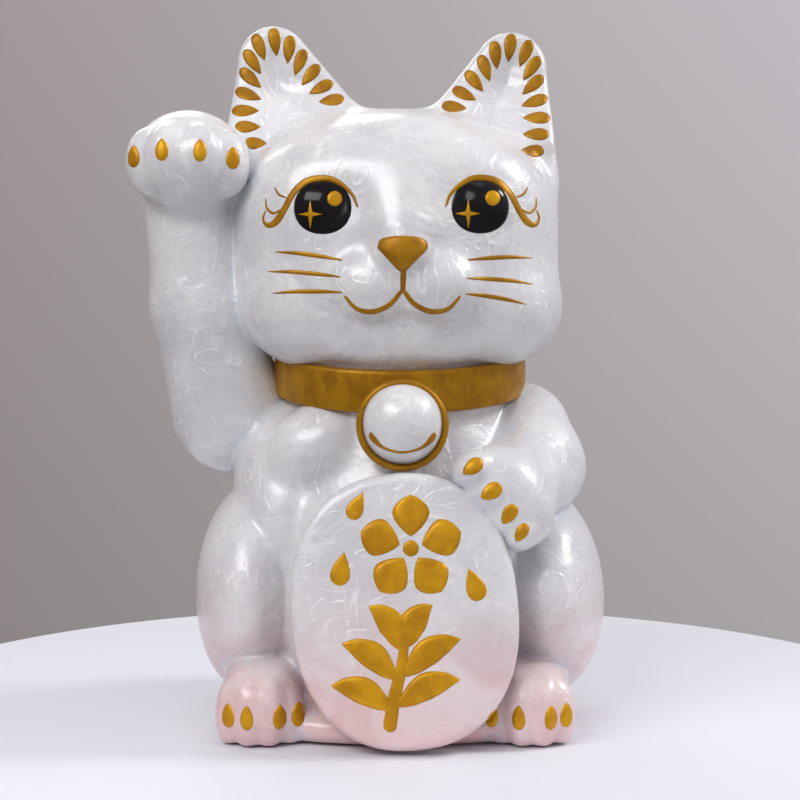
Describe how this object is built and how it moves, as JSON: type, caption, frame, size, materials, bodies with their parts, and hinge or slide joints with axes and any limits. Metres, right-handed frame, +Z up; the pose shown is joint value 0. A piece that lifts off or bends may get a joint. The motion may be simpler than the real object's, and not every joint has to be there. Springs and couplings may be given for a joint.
{
  "type": "beckoning cat figurine",
  "caption": "Seated ceramic cat coin bank with one paw raised, the other on an oval plaque, a collar with a bell, and a pull-out stopper in its base.",
  "frame": {"origin": "centre of the base's resting face", "axes": "+Z up to the ear tips, -Y the way the cat faces, -X the cat's right, where the paw is raised"},
  "size_m": [0.162, 0.1387, 0.2397],
  "materials": {
    "pearl_glaze": "white porcelain glaze with a streaked pearl lustre, fading to pink at the feet, high gloss",
    "gold_enamel": "hand-painted gold overglaze enamel, satin",
    "black_enamel": "black overglaze enamel, high gloss",
    "stopper_rubber": "grey moulded rubber, matte"
  },
  "bodies": {
    "cat": {"torso": "pearl_glaze", "head": "pearl_glaze", "raised_arm": "pearl_glaze", "resting_arm": "pearl_glaze", "right_foot": "pearl_glaze", "left_foot": "pearl_glaze", "tail": "pearl_glaze", "koban": "pearl_glaze", "collar": "gold_enamel", "bell": "pearl_glaze", "eye_right": "black_enamel", "eye_left": "black_enamel", "eye_glints_right": "gold_enamel", "eye_glints_left": "gold_enamel", "lashes_right": "gold_enamel", "lashes_left": "gold_enamel", "nose": "gold_enamel", "mouth_line": "gold_enamel", "whiskers_right": "gold_enamel", "whiskers_left": "gold_enamel", "ear_marks_right": "gold_enamel", "ear_marks_left": "gold_enamel", "claws_raised_paw": "gold_enamel", "claws_resting_paw": "gold_enamel", "claws_right_foot": "gold_enamel", "claws_left_foot": "gold_enamel", "bell_rim": "gold_enamel", "bell_mouth": "gold_enamel", "koban_emblem": "gold_enamel"},
    "stopper": {"stopper": "stopper_rubber"}
  },
  "joints": [
    {"name": "stopper_pull", "type": "slide", "parent": "cat", "child": "stopper", "axis": [0, 0, -1], "range_m": [0, 0.03]}
  ]
}
